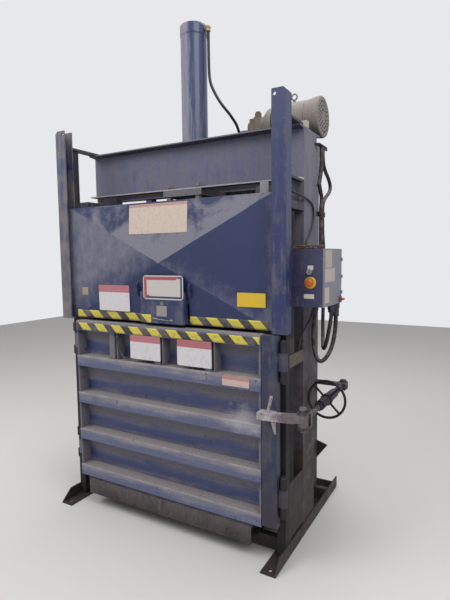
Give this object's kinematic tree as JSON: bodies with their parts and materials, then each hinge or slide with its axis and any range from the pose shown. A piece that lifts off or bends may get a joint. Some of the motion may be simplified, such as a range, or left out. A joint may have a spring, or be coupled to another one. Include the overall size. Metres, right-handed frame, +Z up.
{
  "type": "recycling baler",
  "caption": "Vertical press with a hinged bale door, screw latch, lifting feed gate, crosshead, hydraulic cylinder, power unit and control box.",
  "frame": {"origin": "centre of the four floor anchor holes, on the skids' underside", "axes": "+X to the operator's right, +Y to the rear, +Z up"},
  "size_m": [1.833, 1.116, 3.14],
  "materials": {
    "blue_paint": "worn gloss paint with dust and light rust",
    "black_paint": "scuffed satin paint",
    "grey_paint": "dusty satin paint",
    "dusty_metal": "paint under oily dust",
    "bare_steel": "dark oiled steel with rust",
    "rusty_chain": "rusty",
    "rod_chrome": "polished",
    "brass": "dull",
    "hose_rubber": "matt",
    "conduit_jacket": "dusty matt",
    "yellow_plastic": "satin",
    "red_plastic": "satin"
  },
  "bodies": {
    "frame": {"skid_left": "black_paint", "skid_right": "black_paint", "base_frame": "blue_paint", "chamber_floor": "bare_steel", "side_wall_left": "blue_paint", "side_wall_right": "blue_paint", "rear_wall": "blue_paint", "column_left": "blue_paint", "column_right": "blue_paint", "corner_post_left": "blue_paint", "corner_post_right": "blue_paint", "rear_posts": "blue_paint", "guide_post_left": "blue_paint", "guide_post_right": "blue_paint", "side_braces": "blue_paint", "crosshead_front": "blue_paint", "crosshead_rear": "blue_paint", "cylinder_mount": "grey_paint", "mount_bolts": "bare_steel", "cylinder_barrel": "blue_paint", "cylinder_gland": "grey_paint", "port_fitting": "brass", "hydraulic_hose": "hose_rubber", "return_pipe": "bare_steel", "deck_plate": "blue_paint", "oil_reservoir": "blue_paint", "valve_block": "grey_paint", "solenoid_valve": "dusty_metal", "gear_pump": "dusty_metal", "pump_adapter": "grey_paint", "motor_housing": "grey_paint", "fan_cover": "grey_paint", "lifting_eye": "bare_steel", "rear_arm": "bare_steel", "hinge_pins": "bare_steel", "control_box": "blue_paint", "box_cover": "grey_paint", "stop_collar": "yellow_plastic", "conduits": "conduit_jacket", "control_cables": "conduit_jacket", "conduit_fittings": "bare_steel", "box_chain": "rusty_chain"},
    "gate": {"gate_panel": "blue_paint", "gate_cover": "blue_paint"},
    "door": {"door_skin": "blue_paint", "bay_sheets": "blue_paint", "door_ribs": "blue_paint", "door_frame": "blue_paint", "tie_guides": "blue_paint"},
    "latch": {"latch_post": "blue_paint", "latch_lever": "bare_steel"},
    "swivel": {"screw_swivel": "bare_steel"},
    "screw": {"screw_rod": "bare_steel"},
    "wheel": {"handwheel": "bare_steel"},
    "press": {"platen": "blue_paint", "piston_rod": "rod_chrome"},
    "stop_button": {"stop_button": "red_plastic"},
    "key_switch": {"key_switch": "bare_steel"},
    "disconnect_knob": {"disconnect_knob": "red_plastic"},
    "motor_rotor": {"motor_rotor": "bare_steel"}
  },
  "joints": [
    {"name": "gate_lift", "type": "slide", "parent": "frame", "child": "gate", "axis": [0, 0, 1], "range_m": [0, 0.49]},
    {"name": "platen_press", "type": "slide", "parent": "frame", "child": "press", "axis": [0, 0, -1], "range_m": [0, 0.9]},
    {"name": "door_swing", "type": "hinge", "parent": "frame", "child": "door", "pos_m": [-0.706, -0.436, 0.73], "axis": [0, 0, -1], "range_deg": [0, 120]},
    {"name": "swivel_turn", "type": "hinge", "parent": "frame", "child": "swivel", "pos_m": [0.904, 0.29, 0.836], "axis": [0, 0, 1], "range_deg": [-0.3, 0.1]},
    {"name": "handwheel_spin", "type": "hinge", "parent": "swivel", "child": "wheel", "pos_m": [0.904, -0.062, 0.836], "axis": [0, -1, 0], "range_deg": [0, 1764]},
    {"name": "rod_slide", "type": "slide", "parent": "swivel", "child": "screw", "axis": [0, 1, 0], "range_m": [0, 0.0495]},
    {"name": "latch_swing", "type": "hinge", "parent": "frame", "child": "latch", "pos_m": [0.792, -0.444, 0.73], "axis": [0, 0, 1], "range_deg": [0, 25.5]},
    {"name": "stop_press", "type": "slide", "parent": "frame", "child": "stop_button", "axis": [0, 1, 0], "range_m": [0, 0.006], "stiffness_N_per_m": 400},
    {"name": "key_turn", "type": "hinge", "parent": "frame", "child": "key_switch", "pos_m": [0.892, -0.337, 1.589], "axis": [0, 1, 0], "range_deg": [0, 90]},
    {"name": "disconnect_turn", "type": "hinge", "parent": "frame", "child": "disconnect_knob", "pos_m": [0.97, -0.05, 1.427], "axis": [1, 0, 0], "range_deg": [0, 90]},
    {"name": "rotor_spin", "type": "hinge", "parent": "frame", "child": "motor_rotor", "pos_m": [0.5, 0.213, 2.521], "axis": [1, 0, 0], "continuous": true}
  ],
  "couplings": [
    {"joint": "rod_slide", "follows": "handwheel_spin", "m_per_rad": 0.0015915},
    {"joint": "latch_swing", "follows": "handwheel_spin", "ratio": 0.014172},
    {"joint": "swivel_turn", "follows": "handwheel_spin", "ratio": -0.00012472}
  ]
}
